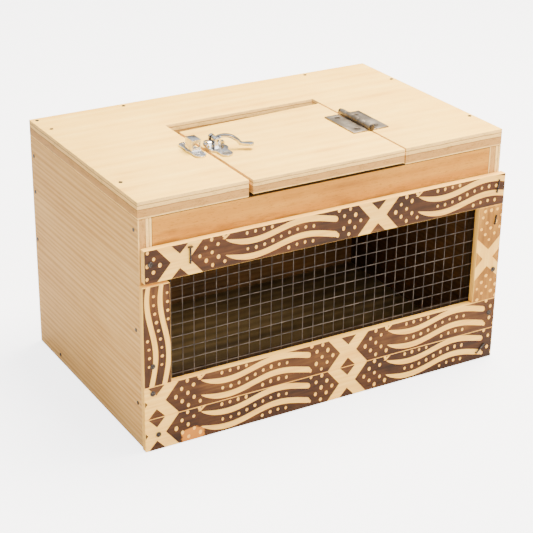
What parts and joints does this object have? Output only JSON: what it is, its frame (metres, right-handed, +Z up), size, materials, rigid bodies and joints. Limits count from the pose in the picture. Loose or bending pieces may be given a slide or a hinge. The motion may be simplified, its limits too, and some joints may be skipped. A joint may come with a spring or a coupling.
{
  "type": "plywood carrying cage for small birds",
  "caption": "Nailed plywood box with a wire mesh window in front, decorated wood strips, and a hinged lid with a lever latch in its top.",
  "frame": {"origin": "middle of the overall box's bottom face, on the surface that the cage stands on", "axes": "+Z up, -Y towards the mesh window in front, +X towards the hinge side"},
  "size_m": [0.433, 0.2816, 0.2836],
  "materials": {
    "top_plywood": "light sanded plywood, worn matt",
    "side_plywood": "plain plywood, rough matt",
    "front_plywood": "orange-brown plywood, matt",
    "trim_wood": "wood strips with a stained brown and cream pattern",
    "galvanised_wire": "dull zinc-coated wire",
    "hinge_steel": "worn zinc-plated sheet",
    "dark_steel": "dark steel",
    "screw_steel": "zinc-plated screws",
    "latch_chrome": "bright nickel or chrome plate",
    "nail_steel": "dark bare nails"
  },
  "bodies": {
    "root": {"left_side_panel": "side_plywood", "right_side_panel": "side_plywood", "back_panel": "side_plywood", "floor_board": "side_plywood", "front_panel": "front_plywood", "top_board": "top_plywood", "trim_top": "trim_wood", "trim_left": "trim_wood", "trim_right": "trim_wood", "trim_bottom_upper": "trim_wood", "trim_bottom_lower": "trim_wood", "mesh_upright_wires": "galvanised_wire", "mesh_level_wires": "galvanised_wire", "hinge_leaf_fixed": "hinge_steel", "hinge_pin": "dark_steel", "hinge_screws_fixed": "screw_steel", "keeper": "latch_chrome", "keeper_screws": "screw_steel", "top_board_nails": "nail_steel", "left_panel_nails": "nail_steel", "right_panel_nails": "nail_steel", "trim_nails": "nail_steel", "bent_nails": "nail_steel"},
    "lid": {"lid_door": "top_plywood", "hinge_leaf_lid": "hinge_steel", "hinge_screws_lid": "screw_steel", "latch_body": "latch_chrome", "latch_screws": "screw_steel", "lever_pin": "dark_steel", "latch_spring": "dark_steel"},
    "tongue": {"latch_tongue": "latch_chrome"},
    "lever": {"latch_lever": "latch_chrome"}
  },
  "joints": [
    {"name": "lid_hinge", "type": "hinge", "parent": "root", "child": "lid", "pos_m": [0.08975, -0.03622, 0.2716], "axis": [0, 1, 0], "range_deg": [0, 180]},
    {"name": "latch_tongue_slide", "type": "slide", "parent": "lid", "child": "tongue", "axis": [1, 0, 0], "range_m": [0, 0.00339], "stiffness_N_per_m": 300, "springref_m": -0.006},
    {"name": "latch_lever_pivot", "type": "hinge", "parent": "lid", "child": "lever", "pos_m": [-0.081, -0.03222, 0.278], "axis": [0, -1, 0], "range_deg": [0, 35]}
  ],
  "couplings": [
    {"joint": "latch_lever_pivot", "follows": "latch_tongue_slide", "rad_per_m": 180.18}
  ]
}
